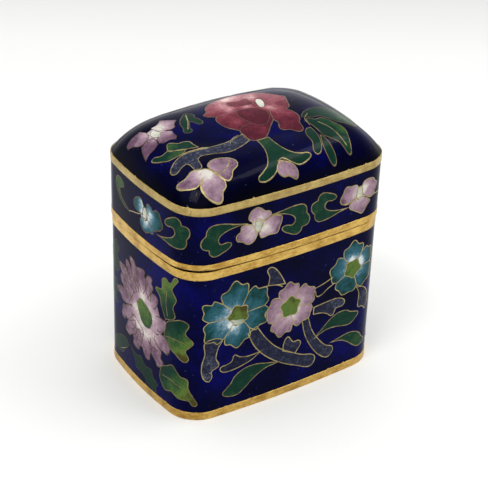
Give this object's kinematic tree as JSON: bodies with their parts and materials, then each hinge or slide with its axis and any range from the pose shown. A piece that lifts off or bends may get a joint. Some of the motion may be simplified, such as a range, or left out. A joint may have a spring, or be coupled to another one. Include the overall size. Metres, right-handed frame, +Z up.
{
  "type": "cloisonne enamel box",
  "caption": "Small rounded rectangular cloisonne enamel box with gilt bands and a lift-off domed lid, for keeping trinkets.",
  "frame": {"origin": "centre of the underside, on the surface that the box stands on", "axes": "+Z up through the lid, +X along the long side, and -Y out of the long side that the picture shows"},
  "size_m": [0.0604, 0.0428, 0.0679],
  "materials": {
    "cobalt_enamel": "glossy fired enamel, polished flush with its wires",
    "gilt_brass": "gilded, finely scratched",
    "plain_brass": "plain brass strip, dull",
    "gilt_wire": "gilded flat wire, ground flush",
    "pink_enamel": "glossy enamel shaded from white to mauve pink",
    "teal_enamel": "glossy enamel shaded from white to turquoise",
    "red_enamel": "glossy enamel shaded from white to crimson",
    "green_enamel": "glossy enamel shaded from dark to yellow green",
    "slate_enamel": "glossy speckled slate enamel",
    "white_enamel": "glossy white enamel",
    "lining_enamel": "plain turquoise lining enamel"
  },
  "bodies": {
    "root": {"body_shell": "cobalt_enamel", "foot_band": "gilt_brass", "mouth_band": "gilt_brass", "locating_collar": "plain_brass", "lid_shell": "cobalt_enamel", "lid_band": "gilt_brass", "shoulder_band": "gilt_brass"}
  },
  "joints": []
}
